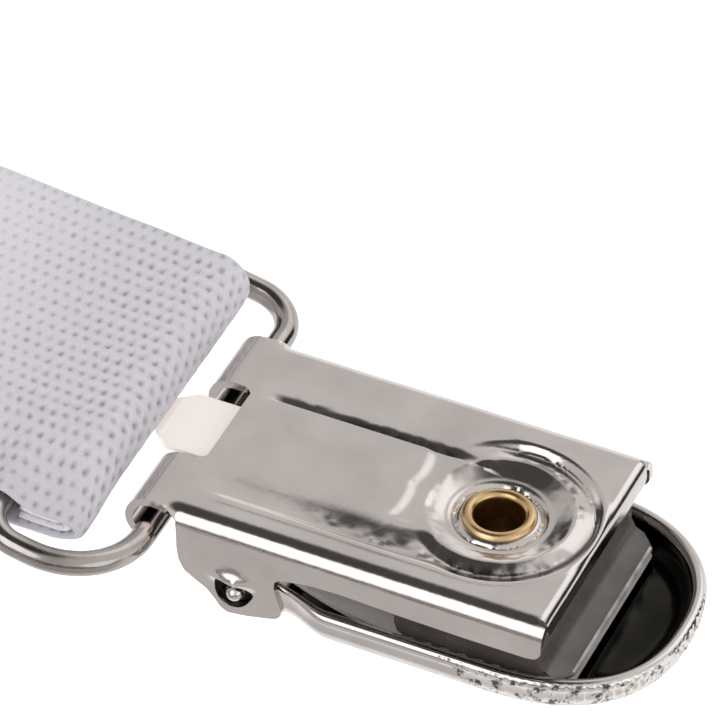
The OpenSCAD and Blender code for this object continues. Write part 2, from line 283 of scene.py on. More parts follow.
def leather(name, dark, light, scale):
    m, nt, b = material(name, light, 0.0, 0.5)
    c = coords(nt)
    v = node(nt, "ShaderNodeTexVoronoi", feature="F1")
    v.inputs["Scale"].default_value = scale
    nt.links.new(c, v.inputs["Vector"])
    f = noise(nt, c, 60, 5.0, 0.6)
    nt.links.new(ramp(nt, f, [(0.3, dark), (0.72, light)]), b.inputs["Base Color"])
    g = noise(nt, c, scale * 2.2, 4.0)
    rr = node(nt, "ShaderNodeMapRange")
    rr.inputs["To Min"].default_value = 0.38
    rr.inputs["To Max"].default_value = 0.62
    nt.links.new(g, rr.inputs["Value"])
    nt.links.new(rr.outputs["Result"], b.inputs["Roughness"])
    bump(nt, b, maths(nt, "ADD", v.outputs["Distance"], maths(nt, "MULTIPLY", g, 0.4)), 0.5, 0.0003)
    return m


LEATHER = leather("patch_leather", (0.13, 0.055, 0.025), (0.26, 0.12, 0.055), 1100)
LINING = leather("patch_lining", (0.22, 0.12, 0.065), (0.36, 0.21, 0.12), 1500)

# ------------------------------------------------------------ mesh helpers
MM = 0.001


def place(P, side):
    """Clip pattern millimetres to row-frame metres."""
    P = np.asarray(P, float) * U
    if side == "back":
        P = P * np.array([1, -1, -1])
        off = np.array([OX, LANE[side], 0.0])
    else:
        off = np.array([OX, LANE[side], ZC])
    return (P + off) * MM


def make(name, V, F, mat, angle=None, smooth=True):
    me = bpy.data.meshes.new(name)
    me.from_pydata([tuple(map(float, v)) for v in V], [], [tuple(int(i) for i in f) for f in F])
    me.validate()
    me.polygons.foreach_set("use_smooth", [smooth] * len(me.polygons))
    if angle:
        me.set_sharp_from_angle(angle=math.radians(angle))
    for m in (mat if isinstance(mat, (list, tuple)) else [mat]):
        me.materials.append(m)
    o = bpy.data.objects.new(name, me)
    bpy.context.scene.collection.objects.link(o)
    return o


def bake(o, angle=None):
    """Applies the object's modifiers to its mesh."""
    dg = bpy.context.evaluated_depsgraph_get()
    me = bpy.data.meshes.new_from_object(o.evaluated_get(dg))
    o.modifiers.clear()
    old = o.data
    o.data = me
    bpy.data.meshes.remove(old)
    if angle:
        me.set_sharp_from_angle(angle=math.radians(angle))
    return o


def outward(o):
    bm = bmesh.new()
    bm.from_mesh(o.data)
    bmesh.ops.recalc_face_normals(bm, faces=bm.faces)
    bm.to_mesh(o.data)
    bm.free()


def grid_faces(n, m, closed_n=False, closed_m=False):
    F = []
    for i in range(n if closed_n else n - 1):
        for j in range(m if closed_m else m - 1):
            a, b_ = i * m + j, i * m + (j + 1) % m
            c_, d = ((i + 1) % n) * m + (j + 1) % m, ((i + 1) % n) * m + j
            F.append((a, b_, c_, d))
    return F


def lathe(prof, n, closed=True):
    """Profile of (r, z) turned about Z."""
    V = []
    for i in range(n):
        a = 2 * math.pi * i / n
        for r, z in prof:
            V.append((r * math.cos(a), r * math.sin(a), z))
    return np.array(V), grid_faces(n, len(prof), True, closed)


def densify(poly, step, closed=True):
    out = []
    n = len(poly)
    for i in range(n if closed else n - 1):
        a, b_ = np.array(poly[i], float), np.array(poly[(i + 1) % n], float)
        k = max(1, int(round(np.linalg.norm(b_ - a) / step)))
        for q in range(k):
            out.append(a + (b_ - a) * q / k)
    if not closed:
        out.append(np.array(poly[-1], float))
    return np.array(out)


def chaikin(P, n=2):
    for _ in range(n):
        Q = np.roll(P, -1, axis=0)
        P = np.stack([0.75 * P + 0.25 * Q, 0.25 * P + 0.75 * Q], 1).reshape(-1, 2)
    return P


def inside(P, poly):
    x, y = P[:, 0], P[:, 1]
    r = np.zeros(len(P), bool)
    n = len(poly)
    for i in range(n):
        x0, y0 = poly[i]
        x1, y1 = poly[(i + 1) % n]
        if y0 == y1:
            continue
        hit = ((y0 > y) != (y1 > y)) & (x < (x1 - x0) * (y - y0) / (y1 - y0) + x0)
        r ^= hit
    return r


def edge_dist(P, poly):
    d = np.full(len(P), 1e9)
    n = len(poly)
    for i in range(n):
        a, b_ = poly[i], poly[(i + 1) % n]
        ab = b_ - a
        L = ab @ ab
        if L < 1e-12:
            continue
        t = np.clip(((P - a) @ ab) / L, 0, 1)
        d = np.minimum(d, np.linalg.norm(P - a - t[:, None] * ab, axis=1))
    return d


# ------------------------------------------------------------ cover: one pressed sheet
R = 1.3
C0 = 8.5 - R
ARC = R * math.pi / 2


def tz(z):
    return C0 + ARC + (-z - R)


def cover_domain():
    half = [(-3.3, 3.5), (-3.3, 7.85), (-3.0, 8.02), (1.3, 8.05), (2.2, 8.25), (2.72, 8.6)]
    for x, z in [(2.82, -1.3), (2.86, -2.6), (3.0, -3.5), (3.35, -4.2), (4.1, -4.7), (4.8, -5.1), (5.35, -5.7), (5.75, -6.25), (6.2, -6.5),
                 (7.4, -6.32), (8.6, -6.02), (9.35, -5.8), (9.68, -5.4), (9.62, -4.9), (9.32, -4.1), (9.15, -3.3), (9.2, -2.9),
                 (9.6, -2.6), (10.5, -2.42), (11.6, -2.25), (13.5, -2.2), (17.3, -2.34), (21.0, -2.42), (25.2, -2.42), (25.8, -2.3), (26.1, -1.9)]:
        half.append((x, tz(z)))
    half += [(26.1, 7.78), (25.62, 7.72), (25.55, 7.6), (25.62, 7.48), (26.9, 7.46), (27.2, 7.2)]
    top = densify(half, 0.35, closed=False)
    bottom = top[::-1] * np.array([1, -1])
    notch = densify([(-3.3, -3.5), (1.85, -3.5), (2.3, -3.05), (2.3, 3.05), (1.85, 3.5), (-3.3, 3.5)], 0.35, closed=False)
    front = densify([(27.2, 7.2), (27.2, -7.2)], 0.35, closed=False)
    P = np.concatenate([top, front[1:-1], bottom, notch[1:-1]])
    return chaikin(P, 1)


OUT = cover_domain()
EYE = np.array([19.8, 0.0])
HOLES = [np.array([(EYE[0] + 1.9 * math.cos(a), 1.9 * math.sin(a)) for a in np.linspace(0, 2 * math.pi, 48, endpoint=False)])]
hood = [(5.35, -4.5), (5.42, -4.0), (5.7, -3.72), (6.1, -3.66), (6.6, -3.78), (7.3, -4.02), (7.95, -4.45), (7.7, -5.0), (7.35, -5.55), (6.9, -5.88), (6.3, -5.95), (5.75, -5.7), (5.4, -5.1)]
for sgn in (1, -1):
    HOLES.append(chaikin(np.array([(x, sgn * tz(z)) for x, z in hood]), 2))


def wobble(x, y, k, seed):
    """Smooth seeded noise in about -1..1 with cells of size k."""
    g = np.random.default_rng(seed).uniform(-1, 1, (257, 257))
    u, v = (x + 40) / k, (y + 40) / k
    i, j = np.floor(u).astype(int), np.floor(v).astype(int)
    fu, fv = sm(u - i), sm(v - j)
    i, j = i % 256, j % 256
    return (g[i, j] * (1 - fu) * (1 - fv) + g[i + 1, j] * fu * (1 - fv) + g[i, j + 1] * (1 - fu) * fv + g[i + 1, j + 1] * fu * fv)


def cover_height(s, t):
    r = np.hypot(s - EYE[0], t)
    d = np.where(s > EYE[0], r - 6.0, np.abs(t) - 6.0)
    fade = sm((s - 2.6) / 2.6)
    rnd = s > EYE[0] - 2.5
    # field: gentle on both long sides, deepest at the panel's far edge and along the near wall
    qf = np.clip((t - 3.2) / 2.9, 0, 1)
    far = -0.30 * (0.5 * (1 - sm((t - 3.2) / 0.8)) + 0.5 * (1 - qf) ** 1.3) * sm((t - 3.12) / 0.17)
    aa = -t
    run = 0.45 + 0.55 * sm((s - 7.0) / 6.0)
    near = (0.05 * np.exp(-((aa - 3.5) / 0.45) ** 2) - 0.31 * run * sm((aa - 3.3) / 2.3)) * (1 - sm((aa - 5.6) / (0.28 + 0.22 * run)))
    s0 = 13.45 + 0.5 * np.sqrt(np.clip(1 - ((np.abs(t) - 1.45) / 1.65) ** 2, 0, 1))
    front = sm((s - s0) / 1.0)
    mid = -0.22 * front
    wob = 0.02 * wobble(s, t, 0.45, 3) + 0.03 * wobble(s, t, 0.9, 4)
    h_str = np.where(t > 3.1, far, np.where(aa > 2.7, near, 0.0))
    # panel's front edge and the field in front of it
    core = (-0.15 * front) * (1 - sm((np.abs(t) - 2.6) / 1.6)) * (1 - sm((s - 15.0) / 1.5))
    h = (h_str + core) * fade
    # round end: falls outwards from the dish's rim, then the wall
    qn = sm((1.0 - t) / 4.0)
    prof = -0.42 * np.clip((r - 4.5) / (1.1 - 0.3 * qn), 0, 1) ** 1.2 * (1 - sm((r - 5.6 + 0.4 * qn) / (0.55 + 0.6 * qn)))
    w_end = sm((s - (EYE[0] - 4.4)) / 4.0)
    h = h * (1 - w_end) + prof * w_end
    h += 0.05 * np.exp(-((d - 0.28) / 0.22) ** 2) * fade * (0.35 + 0.65 * np.maximum(w_end, (t < 0) * 1.0))
    # dish and the ring pressed by the eyelet
    h += -0.50 * np.clip((4.45 - r) / 1.35, 0, 1) * sm((4.7 - r) / 0.4) + 0.05 * np.exp(-((r - 3.05) / 0.15) ** 2) - 0.25 * np.exp(-((r - 2.62) / 0.16) ** 2)
    crinkle = np.exp(-((r - 5.2) / 0.55) ** 2) * w_end * (0.35 + 0.65 * sm((-t - 0.5) / 2.0)) + np.exp(-((aa - 5.1) / 0.5) ** 2) * sm((s - 8.5) / 3.0) * (1 - w_end)
    crinkle += 0.7 * np.exp(-((r - 4.1) / 0.45) ** 2) + 0.8 * np.exp(-((t - 3.65) / 0.35) ** 2) * fade * (1 - w_end)
    h += crinkle * wob * 1.3
    h += 0.012 * wobble(s, t, 3.0, 5)
    return h


def cover_warp(s, t, h):
    a = np.abs(t)
    sg = np.sign(t)
    w = sm((s - 1.7) / 1.05)
    w = np.maximum(w, 1e-3)
    Rw = R / w
    e = np.clip(a - C0, 0, ARC)
    ph = e / Rw
    y = np.minimum(a, C0) + Rw * np.sin(ph)
    z = -Rw * (1 - np.cos(ph))
    rest = np.maximum(a - C0 - ARC, 0)
    y = y + rest * np.cos(ph)
    z = z - rest * np.sin(ph)
    ny, nz = np.sin(ph), np.cos(ph)
    # hood over the pivot hole
    zz = -(a - tz(0))
    hd = 0.55 * np.exp(-((s - 6.5) / 1.25) ** 2 - ((zz + 3.65) / 0.5) ** 2) * (zz > -4.6)
    hd = np.where(rest > 0, hd, 0)
    off = h + hd
    y = y + ny * off
    z = z + nz * off
    x = s.copy()
    # lip at the jaw
    lip = (s > 25.5) & (a < 7.62)
    ps = np.clip((s - 25.5) / 0.6, 0, math.radians(86))
    ex = np.maximum(s - 25.5 - 0.6 * math.radians(86), 0)
    x = np.where(lip, 25.5 + 0.6 * np.sin(ps) + ex * np.cos(ps), x)
    z = np.where(lip, z - 0.6 * (1 - np.cos(ps)) - ex * np.sin(ps), z)
    # rolled end round the ring's bar
    roll = s < 1.0
    pr = np.where(roll, (1.0 - s) / 1.7, 0)
    x = np.where(roll, 1.0 - 1.7 * np.sin(pr), x)
    z = np.where(roll, z * np.cos(pr) - 1.7 * (1 - np.cos(pr)), z)
    return np.stack([x, y * sg, z], 1)


def cover_mesh():
    loops = [OUT] + HOLES

    def zone(x0, x1, y0, y1, step, keep):
        gx, gy = np.meshgrid(np.arange(x0, x1, step), np.arange(y0, y1, step))
        P = np.stack([gx.ravel(), gy.ravel()], 1)
        P[:, 0] += (np.round((P[:, 1] - y0) / step) % 2) * step / 2
        return P[keep(P)]

    def fine(P):
        s, t = P[:, 0], np.abs(P[:, 1])
        r = np.hypot(s - EYE[0], P[:, 1])
        d = np.where(s > EYE[0], r - 6.0, t - 6.0)
        y = P[:, 1]
        return (((np.abs(d + 0.35) < 1.1) & (s > 2) & ((y < 0) | (s > 15.5))) | ((np.abs(y - 3.5) < 0.75) & (s > 2) & (s < 16)) | (r < 6.5) | (s > 25.2)) & (t < 7.3)

    def mid(P):
        s, t = P[:, 0], np.abs(P[:, 1])
        hoodz = (t > 10.8) & (t < 12.4) & (s > 4.4) & (s < 8.8)
        return (((t > 6.9) & (t < 9.6)) | (s < 3.2) | hoodz | (s > 25.2)) & ~fine(P)

    A = zone(-4, 28, -15, 15, 0.15, fine)
    B = zone(-4, 28, -15, 15, 0.25, mid)
    Cc = zone(-4, 28, -15, 15, 0.6, lambda P: ~fine(P) & ~mid(P))
    P = np.concatenate([A, B, Cc])
    ok = inside(P, OUT)
    P = P[ok]
    ok = edge_dist(P, OUT) > 0.1
    for h in HOLES:
        ok &= ~inside(P, h) & (edge_dist(P, h) > 0.08)
    P = P[ok]
    verts = list(map(tuple, np.concatenate(loops + [P])))
    edges = []
    k = 0
    for L in loops:
        n = len(L)
        edges += [(k + i, k + (i + 1) % n) for i in range(n)]
        k += n
    vs, _, fs, _, _, _ = delaunay_2d_cdt([Vector(v) for v in verts], edges, [], 0, 1e-5)
    V2 = np.array([[v.x, v.y] for v in vs])
    F = np.array(fs)
    c_ = V2[F].mean(1)
    ok = inside(c_, OUT)
    for h in HOLES:
        ok &= ~inside(c_, h)
    F = F[ok]
    s, t = V2[:, 0], V2[:, 1]
    V = cover_warp(s, t, cover_height(s, t))
    # painted shade and dark reflection, broken up by noise: in the crease of the stadium, in a band inside it on the
    # near side, along the panel's far edge and in the dish's rim
    r = np.hypot(s - EYE[0], t)
    d = np.where(s > EYE[0], r - 6.0, np.abs(t) - 6.0)
    w_end = sm((s - (EYE[0] - 2.0)) / 4.0)
    grain = 0.5 + 0.5 * np.clip(wobble(s, t, 0.35, 11) * 1.6, -1, 1)
    side_ = sm((2.2 - t) / 3.5) * sm((s - 9.0) / 8.0)
    line = np.exp(-((d + 0.30) / (0.15 + 0.13 * w_end)) ** 2) * side_ * (0.55 + 0.45 * w_end)
    speck = 0.75 * np.exp(-((d + 0.75) / 0.36) ** 2) * sm((-t - 1.0) / 2.0) * sm((s - 11.0) / 5.0) * (1 - 0.9 * sm((s - 23.5) / 1.5)) * sm((grain - 0.45) / 0.25)
    far_ = 0.6 * np.exp(-((t - 3.45) / 0.22) ** 2) * sm((s - 7.5) / 2) * (1 - sm((s - 15.0) / 1.0)) * sm((grain - 0.35) / 0.3)
    arc_ = 0.7 * np.exp(-((r - 4.75) / 0.28) ** 2) * sm((t - 0.5) / 2.0) * sm((s - EYE[0] + 1.5) / 2.0) * sm((grain - 0.4) / 0.25)
    return V, F, np.clip(np.maximum.reduce([line, speck, far_, arc_]), 0, 1)


COVER_V, COVER_F, CREASE_SHADE = cover_mesh()
COVER = metal("nickel_cover", (0.62, 0.575, 0.55), (0.72, 0.675, 0.65), 0.10, 0.2, 0.25, 260)
nt = COVER.node_tree
b = nt.nodes["Principled BSDF"]
# the per-vertex attribute mixes the base colour towards near-black: painted shade and dark reflection in the creases
at = node(nt, "ShaderNodeAttribute")
at.attribute_name = "tarnish"
mx = node(nt, "ShaderNodeMixRGB", blend_type="MIX")
nt.links.new(at.outputs["Fac"], mx.inputs["Fac"])
nt.links.new(b.inputs["Base Color"].links[0].from_socket, mx.inputs["Color1"])
mx.inputs["Color2"].default_value = (0.035, 0.028, 0.026, 1)
nt.links.new(mx.outputs["Color"], b.inputs["Base Color"])


def sheet_metal(o, th):
    m = o.modifiers.new("t", "SOLIDIFY")
    m.thickness = th * U * MM
    m.offset = -1
    m.use_rim = True
    bake(o, 38)
    return o


def make_cover(side):
    V = place(COVER_V, side)
    o = make("cover_shell_" + side, V, COVER_F, COVER)
    bm = bmesh.new()
    bm.from_mesh(o.data)
    bmesh.ops.recalc_face_normals(bm, faces=bm.faces)
    up = -1 if side == "back" else 1
    big = max(bm.faces, key=lambda f: f.calc_area())
    if big.normal.z * up < 0 and abs(big.normal.z) > 0.5:
        bmesh.ops.reverse_faces(bm, faces=bm.faces)
    bm.to_mesh(o.data)
    bm.free()
    # painted shade and dark reflection in the creases, stored per vertex for the cover's material
    at_ = o.data.attributes.new("tarnish", "FLOAT", "POINT")
    at_.data.foreach_set("value", CREASE_SHADE.astype(np.float32))
    sheet_metal(o, 0.5)
    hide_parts("cover_" + side)
    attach(o, "clip_" + side)


# ------------------------------------------------------------ lever: pressed spoon with rolled, knurled rim
def lever_mesh(fine=True):
    def hw(x):
        return 7.7 + 1.05 * sm((x - 9.2) / 3.4)
    xs = np.concatenate([np.arange(5.4, 12.6, 0.2), np.arange(12.6, 22.6, 0.4)])
    near = [(x, -hw(x)) for x in xs]
    n = 420 if fine else 300
    tip = []
    for a in np.linspace(-math.pi / 2, math.pi / 2, n):
        c_, s_ = math.cos(a), math.sin(a)
        tip.append((22.6 + 9.7 * abs(c_) ** 0.86, 8.75 * math.copysign(abs(s_) ** 0.86, s_)))
    B = np.array(near + tip + [(x, -y) for x, y in near[::-1]])
    seg = np.linalg.norm(np.diff(B, axis=0), axis=1)
    keep = np.concatenate([[True], seg > 1e-4])
    B = B[keep]
    arc = np.concatenate([[0], np.cumsum(np.linalg.norm(np.diff(B, axis=0), axis=1))])
    d = np.gradient(B, axis=0)
    d /= np.linalg.norm(d, axis=1)[:, None]
    N = np.stack([-d[:, 1], d[:, 0]], 1)          # inward
    V = []
    prof_n = None
    for i, (x, y) in enumerate(B):
        bf = float(sm((x - 10.2) / 2.6))
        rb = 0.24 + 0.2 * bf
        if x < 12:
            zt = np.interp(x, [5.4, 5.7, 6.4, 7.4, 8.4, 9.6, 12.0], [-4.9, -4.0, -3.45, -3.4, -3.75, -4.1, -4.2])
        else:
            zt = -4.2 - 0.12 * float(sm((x - 26) / 6))
        kn = 0.0
        if x > 23.2 and y < 6.0:
            ph = (arc[i] / 0.6) % 1.0
            cell = math.floor(arc[i] / 0.6)
            amp = 0.05 + 0.09 * abs(math.sin(cell * 12.9898) * 43758.5453 % 1.0)
            kn = amp * max(0.0, 1 - abs(ph - 0.5) / 0.3) * float(sm((x - 23.2) / 1.0)) * (1 - float(sm((y - 1.0) / 5.0)))
        prof = [(3.0, -6.27), (2.3, -6.25), (1.6, -6.12), (1.05, -5.88), (0.7, -5.5), (0.56, -5.1)]
        for th in np.linspace(-35, 215, 13):
            r_ = math.radians(th)
            m_, z_ = rb + rb * math.cos(r_), zt - rb + rb * math.sin(r_)
            if th > 150:
                m_ += kn * 0.6
            prof.append((m_, z_))
        prof += [(0.04 + kn, -5.3), (0.10 + kn * 0.8, -5.7), (0.35 + kn * 0.3, -6.12), (0.9, -6.45), (1.7, -6.64), (3.0, -6.7)]
        prof_n = len(prof)
        for m_, z_ in prof:
            V.append((x + N[i, 0] * m_, y + N[i, 1] * m_, z_))
    n_ = len(B)
    F = grid_faces(n_, prof_n)
    V = np.array(V)
    # floor, top and underside, and the end faces
    top = [i * prof_n for i in range(n_)]
    bot = [i * prof_n + prof_n - 1 for i in range(n_)]
    F.append(tuple(top))
    F.append(tuple(bot[::-1]))
    F.append(tuple(range(prof_n)))
    F.append(tuple(range((n_ - 1) * prof_n + prof_n - 1, (n_ - 1) * prof_n - 1, -1)))
    F.append((top[0], bot[0], bot[-1], top[-1]))
    dark = []
    for k in range((n_ - 1) * (prof_n - 1)):
        i, j = divmod(k, prof_n - 1)
        dark.append(1 if j < 7 else 2 if 14 <= j <= 23 and B[i][1] < 1.5 + 2.0 * math.sin(i * 0.9) and B[i][0] > 20.5 + 1.2 * math.sin(j * 2.1) else 0)
    dark += [1, 0, 0, 0, 0]
    return V, F, dark


LEVER = lever_mesh()


def dome_pin(y0, y1, r, sgn):
    """Stub with a domed end, along Y, from |y0| to |y1|."""
    prof = [(0.0, y0), (r * 1.15, y0), (r * 1.1, y0 + 0.15), (r, y0 + 0.3), (r * 0.9, y1 - 0.5), (r * 0.66, y1 - 0.22), (r * 0.3, y1 - 0.05), (0.0, y1)]
    V, F = lathe([(a, z) for a, z in prof], 28, closed=False)
    V2 = np.stack([V[:, 0] + 6.6, sgn * V[:, 2], V[:, 1] - 4.9], 1)
    return V2, F


def join(parts):
    V, F, k = [], [], 0
    for v, f in parts:
        V.append(v)
        F += [tuple(int(i) + k for i in q) for q in f]
        k += len(v)
    return np.concatenate(V), F


def rounded_box(lo, hi, r):
    bm = bmesh.new()
    bmesh.ops.create_cube(bm, size=1)
    lo, hi = np.array(lo, float), np.array(hi, float)
    for v in bm.verts:
        v.co = Vector(lo + (np.array(v.co) + 0.5) * (hi - lo))
    bmesh.ops.bevel(bm, geom=list(bm.edges), offset=r, segments=3, affect="EDGES", profile=0.5)
    V = np.array([v.co[:] for v in bm.verts])
    F = [tuple(v.index for v in f.verts) for f in bm.faces]
    bm.free()
    return V, F


def make_lever(side):
    parts = [LEVER[:2]]
    for sgn in (1, -1):
        parts.append(dome_pin(7.25, 8.9, 0.62, sgn))
    parts.append(rounded_box((8.4, -6.9, -6.45), (9.2, 6.9, -5.1), 0.2))
    nf = sum(len(q[1]) for q in parts)
    # dark discs round the pivots, in the near-black inside material: painted shade behind the pivot holes
    for sgn in (1, -1):
        wv, wf = lathe([(0.0, 7.66), (1.28, 7.66), (1.28, 7.9), (0.0, 7.9)], 28, closed=False)
        parts.append((np.stack([wv[:, 0] + 6.6, sgn * wv[:, 2], wv[:, 1] - 4.9], 1), wf))
    V, F = join(parts)
    o = make("lever_spoon_" + side, place(V, side), F, [SPOON, INSIDE, RIM], angle=50)
    o.data.polygons.foreach_set("material_index", [int(q) for q in LEVER[2]] + [0] * (nf - len(LEVER[2])) + [1] * (len(F) - nf))
    outward(o)
    o.data.set_sharp_from_angle(angle=math.radians(50))
    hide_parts("lever_" + side)
    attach(o, "lever_" + side)


# ------------------------------------------------------------ leaf, insert, eyelet
def leaf_mesh():
    P = [(-1.85, -0.86), (-1.0, -0.93), (0.5, -0.97), (2.2, -0.95), (3.2, -1.12), (4.2, -1.55), (6.0, -2.4), (8.0, -3.35), (10.0, -4.2), (12.0, -4.98), (13.4, -5.38),
         (15.0, -5.64), (17.0, -5.72), (21.0, -5.72), (25.8, -5.70), (26.8, -5.62), (27.35, -5.48)]
    P = np.array(P)
    s = np.concatenate([[0], np.cumsum(np.linalg.norm(np.diff(P, axis=0), axis=1))])
    q = np.unique(np.concatenate([np.arange(0, s[-1], 0.25), [s[-1]], np.linspace(0, 1.2, 8), np.linspace(s[-1] - 1, s[-1], 8)]))
    X = np.interp(q, s, P[:, 0])
    Z = np.interp(q, s, P[:, 1])
    for _ in range(6):
        Z[1:-1] = 0.25 * Z[:-2] + 0.5 * Z[1:-1] + 0.25 * Z[2:]
    hw = np.interp(X, [-1.85, -1.8, -0.75, 2.5, 3.4, 26.5, 27.0, 27.35], [1.5, 1.55, 2.5, 2.5, 6.8, 6.8, 6.5, 5.6])
    v = np.linspace(-1, 1, 29)
    V = [(x, h * a, z) for x, z, h in zip(X, Z, hw) for a in v]
    return np.array(V), grid_faces(len(X), len(v))


LEAF = leaf_mesh()


def make_leaf(side):
    V, F = LEAF
    o = make("jaw_leaf_" + side, place(V, side), F, STEEL)
    outward(o)
    up = -1 if side == "back" else 1
    o.data.update()
    # the tab's faces get the lit, faintly glowing copy: painted light on the tab
    o.data.materials.append(TAB_PAINTED_LIGHT)
    for f in o.data.polygons:
        if (f.center.x / MM - OX) / U < 2.9:
            f.material_index = 1
    nz = np.mean([p.normal.z for p in o.data.polygons]) * up
    if nz < 0:
        o.data.flip_normals()
    m = o.modifiers.new("t", "SOLIDIFY")
    m.thickness = 0.33 * U * MM
    m.offset = 0
    bake(o, 40)
    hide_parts("leaf_" + side)
    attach(o, "jaw_" + side)


# pale grey for the ledge's front edge: a painted highlight line on the dark plastic
LEDGE_HIGHLIGHT, nt, b = material("moulded_edge", (0.62, 0.59, 0.585), 0.0, 0.22)
nt.links.new(ramp(nt, noise(nt, coords(nt), 900, 3.0), [(0.3, (0.34, 0.32, 0.32)), (0.7, (0.72, 0.69, 0.68))]), b.inputs["Base Color"])


def make_insert(side):
    prof = [(16.4, -1.35), (25.35, -1.35), (25.45, -3.6), (25.5, -4.2), (25.75, -4.65), (26.2, -4.88), (27.14, -4.965), (27.3, -4.98), (27.35, -5.2), (27.1, -5.38)]
    for i in range(9):
        prof += [(26.5 - i * 1.1, -5.4), (26.15 - i * 1.1, -5.12)]
    prof += [(16.9, -5.35), (16.45, -5.05), (16.25, -4.5), (16.2, -2.0)]
    n = len(prof)
    ys = np.concatenate([[-7.0], np.linspace(-6.9, 6.9, 15), [7.0]])
    V, F = [], []
    for k, y in enumerate(ys):
        for x, z in prof:
            # corners of the ledge are rounded in plan
            lim = 27.4 - 1.5 * (1 - math.sqrt(max(0.0, 1 - max(0.0, (abs(y) - 5.4) / 1.6) ** 2)))
            sh = 0.06 if k in (0, len(ys) - 1) else 0.0
            V.append((min(x, lim), y, z * (1 - sh * 0.0)))
    F = grid_faces(len(ys), n, False, True)
    F.append(tuple(range(n)))
    F.append(tuple(range(len(ys) * n - 1, (len(ys) - 1) * n - 1, -1)))
    o = make("jaw_insert_" + side, place(np.array(V), side), F, PLASTIC)
    outward(o)
    bv = o.modifiers.new("b", "BEVEL")
    bv.width = 0.22 * U * MM
    bv.segments = 3
    bv.limit_method = "ANGLE"
    bv.angle_limit = math.radians(55)
    hole, hf = lathe([(0.0001, 1.0), (1.87, 1.0), (1.87, -3.6), (0.0001, -3.6)], 40, closed=False)
    hole = hole + np.array([19.8, 0, -1.0])
    cut = make("cut_" + side, place(hole, side), hf, PLASTIC)
    bm = bmesh.new()
    bm.from_mesh(cut.data)
    bmesh.ops.remove_doubles(bm, verts=bm.verts, dist=1e-6)
    bmesh.ops.recalc_face_normals(bm, faces=bm.faces)
    bm.to_mesh(cut.data)
    bm.free()
    bo = o.modifiers.new("h", "BOOLEAN")
    bo.operation = "DIFFERENCE"
    bo.solver = "EXACT"
    bo.object = cut
    bake(o, 40)
    bpy.data.objects.remove(cut)
    o.data.materials.append(LEDGE_HIGHLIGHT)
    off = (OX, LANE[side], 0.0) if side == "back" else (OX, LANE[side], ZC)
    flip = -1 if side == "back" else 1
    for f in o.data.polygons:
        x = (f.center.x / MM - off[0]) / U
        y = (f.center.y / MM - off[1]) / U * flip
        z = (f.center.z / MM - off[2]) / U * flip
        lim = 27.4 - 1.5 * (1 - math.sqrt(max(0.0, 1 - max(0.0, (abs(y) - 5.4) / 1.6) ** 2)))
        # faces along the ledge's front edge get the pale material: a painted highlight line
        if x > lim - 0.22 and -5.17 < z < -4.86:
            f.material_index = len(o.data.materials) - 1
    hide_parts("insert_" + side)
    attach(o, "clip_" + side)


def make_eyelet(side):
    prof = [(1.5, -3.9), (1.5, -2.0), (1.5, -0.75), (1.52, -0.45), (1.6, -0.27), (1.75, -0.16), (1.9, -0.12), (2.05, -0.16), (2.19, -0.27), (2.28, -0.44), (2.3, -0.6),
            (2.26, -0.74), (2.15, -0.82), (2.0, -0.84), (1.86, -0.9), (1.84, -2.0), (1.84, -3.9)]
    V, F = lathe(prof, 72)
    V = V + np.array([19.8, 0, 0])
    o = make("brass_eyelet_" + side, place(V, side), F, BRASS, angle=60)
    outward(o)
    o.data.set_sharp_from_angle(angle=math.radians(60))
    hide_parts("eyelet_" + side)
    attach(o, "clip_" + side)


# ------------------------------------------------------------ rings
def rounded_loop(a0, a1, hw, r0, r1, n=18, rf=None, hf=None):
    """Centreline in (along, across): straight bars at a0 and a1 with corner radii r0 and r1; rf and hf belong to one bent side."""
    P = []
    rf = r1 if rf is None else rf
    hf = hw if hf is None else hf
    for cx, cy, r, th0 in ((a1 - rf, hf - rf, rf, 0), (a0 + r0, hf - r0, r0, 90), (a0 + r0, -hw + r0, r0, 180), (a1 - r1, -hw + r1, r1, 270)):
        for i in range(n + 1):
            th = math.radians(th0 + 90 * i / n)
            P.append((cx + r * math.cos(th), cy + r * math.sin(th)))
    return densify(np.array(P), 1.2)


def tube(P, rad, n=20, closed=True):
    P = np.asarray(P, float)
    m = len(P)
    d = np.roll(P, -1, 0) - np.roll(P, 1, 0)
    if not closed:
        d[0], d[-1] = P[1] - P[0], P[-1] - P[-2]
    d /= np.linalg.norm(d, axis=1)[:, None]
    ref = np.array([0, 0, 1.0]) if abs(d[0, 2]) < 0.8 else np.array([0, 1.0, 0])
    V = []
    for i in range(m):
        a = np.cross(d[i], ref)
        a /= np.linalg.norm(a)
        b_ = np.cross(a, d[i])
        for k in range(n):
            th = 2 * math.pi * k / n
            V.append(P[i] + rad * (math.cos(th) * a + math.sin(th) * b_))
    return np.array(V), grid_faces(m, n, closed, True)


def make_ring(side):
    S, B = RBAR[side], BAR[side]
    e = (B - S) / np.linalg.norm(B - S)
    L = np.linalg.norm(B - S)
    loop = rounded_loop(0.0, L, 15.0, 2.4, 5.4, rf=3.0, hf=14.05)
    P = np.array([S + e * a + np.array([0, c_, 0]) for a, c_ in loop])
    V, F = tube(P * MM, 0.8 * MM, 24)
    o = make("wire_ring_" + side, V, F, WIRE)
    outward(o)
    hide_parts("ring_" + side)
    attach(o, "ring_" + side)


for s_ in SIDES:
    make_cover(s_)
    make_lever(s_)
    make_leaf(s_)
    make_insert(s_)
    make_eyelet(s_)
    make_ring(s_)

# ------------------------------------------------------------ webbing
LR = 0.9 + T / 2
TL, TR, SA = -296.0, -112.0, 88.0
Z1, Z2, Z3 = 8.0, 4.3, T / 2


